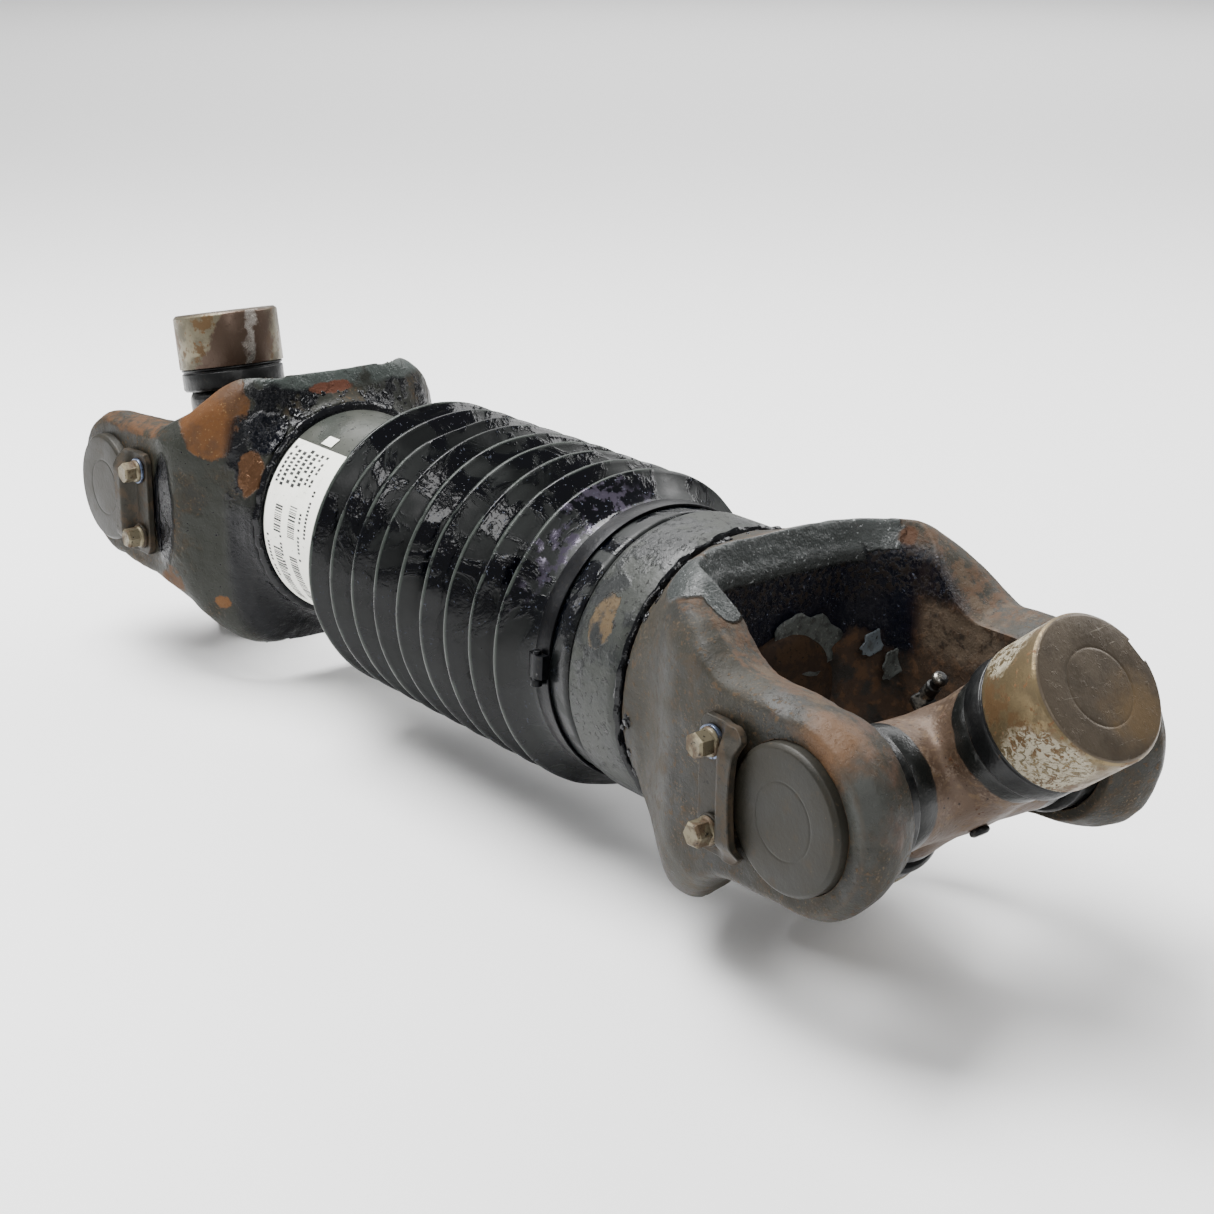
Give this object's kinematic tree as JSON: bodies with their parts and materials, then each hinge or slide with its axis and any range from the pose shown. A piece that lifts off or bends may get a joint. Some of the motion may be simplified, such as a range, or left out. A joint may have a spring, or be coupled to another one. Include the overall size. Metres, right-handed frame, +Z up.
{
  "type": "universal joint shaft",
  "caption": "Telescoping drive shaft with a splined slip joint under a ribbed bellows boot, and at each end a forged yoke holding a bearing cross.",
  "frame": {"origin": "centre of the bounding box in X and Y, at its base in Z; the shaft axis runs parallel to X above it", "axes": "+X along the shaft towards the slip yoke, +Y along the held trunnions of both crosses, +Z up"},
  "size_m": [0.65, 0.1814, 0.1714],
  "materials": {
    "yoke_steel": "worn dark paint over brown rust",
    "plug_steel": "rusty",
    "cross_steel": "bare forged steel with brown rust",
    "cup_steel": "ground, stained brown",
    "needle_steel": "bright",
    "black_rubber": "satin with tar",
    "tab_steel": "dark, dull",
    "plated_steel": "yellow plating, worn",
    "grey_paint": "satin grey-green paint",
    "weld_steel": "glossy undercoat over a weld",
    "spline_steel": "machined, greased",
    "clamp_steel": "bright band under tar",
    "label_paper": "matt white sticker"
  },
  "bodies": {
    "rear_shaft": {"rear_yoke": "yoke_steel", "rear_yoke_plug": "plug_steel", "rear_weld_bead": "weld_steel", "rear_tube": "grey_paint", "stub_weld_bead": "weld_steel", "spline_shaft": "spline_steel", "label": "label_paper", "boot": "black_rubber", "rear_boot_clamp": "clamp_steel", "rear_left_cup": "cup_steel", "rear_left_needles": "needle_steel", "rear_left_seal": "black_rubber", "rear_right_cup": "cup_steel", "rear_right_needles": "needle_steel", "rear_right_seal": "black_rubber", "rear_left_lock_tab": "tab_steel", "rear_right_lock_tab": "tab_steel", "rear_left_bolt_upper": "plated_steel", "rear_left_bolt_lower": "plated_steel", "rear_right_bolt_upper": "plated_steel", "rear_right_bolt_lower": "plated_steel"},
    "front_shaft": {"front_yoke": "yoke_steel", "front_yoke_plug": "plug_steel", "front_weld_bead": "weld_steel", "slip_sleeve": "grey_paint", "front_boot_clamp": "clamp_steel", "front_left_cup": "cup_steel", "front_left_needles": "needle_steel", "front_left_seal": "black_rubber", "front_right_cup": "cup_steel", "front_right_needles": "needle_steel", "front_right_seal": "black_rubber", "front_left_lock_tab": "tab_steel", "front_right_lock_tab": "tab_steel", "front_left_bolt_upper": "plated_steel", "front_left_bolt_lower": "plated_steel", "front_right_bolt_upper": "plated_steel", "front_right_bolt_lower": "plated_steel"},
    "front_cross_body": {"front_cross": "cross_steel", "front_grease_fitting": "plated_steel", "front_cross_plug": "plated_steel"},
    "rear_cross_body": {"rear_cross": "cross_steel", "rear_grease_fitting": "plated_steel", "rear_cross_plug": "plated_steel"},
    "front_upper_cup_body": {"front_upper_cup": "cup_steel", "front_upper_needles": "needle_steel", "front_upper_seal": "black_rubber"},
    "front_lower_cup_body": {"front_lower_cup": "cup_steel", "front_lower_needles": "needle_steel", "front_lower_seal": "black_rubber"},
    "rear_upper_cup_body": {"rear_upper_cup": "cup_steel", "rear_upper_needles": "needle_steel", "rear_upper_seal": "black_rubber"},
    "rear_lower_cup_body": {"rear_lower_cup": "cup_steel", "rear_lower_needles": "needle_steel", "rear_lower_seal": "black_rubber"}
  },
  "joints": [
    {"name": "slip_joint", "type": "slide", "parent": "rear_shaft", "child": "front_shaft", "axis": [1, 0, 0], "range_m": [-0.045, 0.045], "deforming": ["boot"]},
    {"name": "front_cross_hinge", "type": "hinge", "parent": "front_shaft", "child": "front_cross_body", "pos_m": [0.24407, 0, 0.08572], "axis": [0, 1, 0], "continuous": true},
    {"name": "rear_cross_hinge", "type": "hinge", "parent": "rear_shaft", "child": "rear_cross_body", "pos_m": [-0.28153, 0, 0.08572], "axis": [0, 1, 0], "continuous": true},
    {"name": "front_upper_cup_spin", "type": "hinge", "parent": "front_cross_body", "child": "front_upper_cup_body", "pos_m": [0.24407, 0, 0.08572], "axis": [0.785, 0, 0.6195], "continuous": true},
    {"name": "front_lower_cup_spin", "type": "hinge", "parent": "front_cross_body", "child": "front_lower_cup_body", "pos_m": [0.24407, 0, 0.08572], "axis": [-0.785, 0, -0.6195], "continuous": true},
    {"name": "rear_upper_cup_spin", "type": "hinge", "parent": "rear_cross_body", "child": "rear_upper_cup_body", "pos_m": [-0.28153, 0, 0.08572], "axis": [-0.2036, 0, 0.979], "continuous": true},
    {"name": "rear_lower_cup_spin", "type": "hinge", "parent": "rear_cross_body", "child": "rear_lower_cup_body", "pos_m": [-0.28153, 0, 0.08572], "axis": [0.2036, 0, -0.979], "continuous": true}
  ]
}
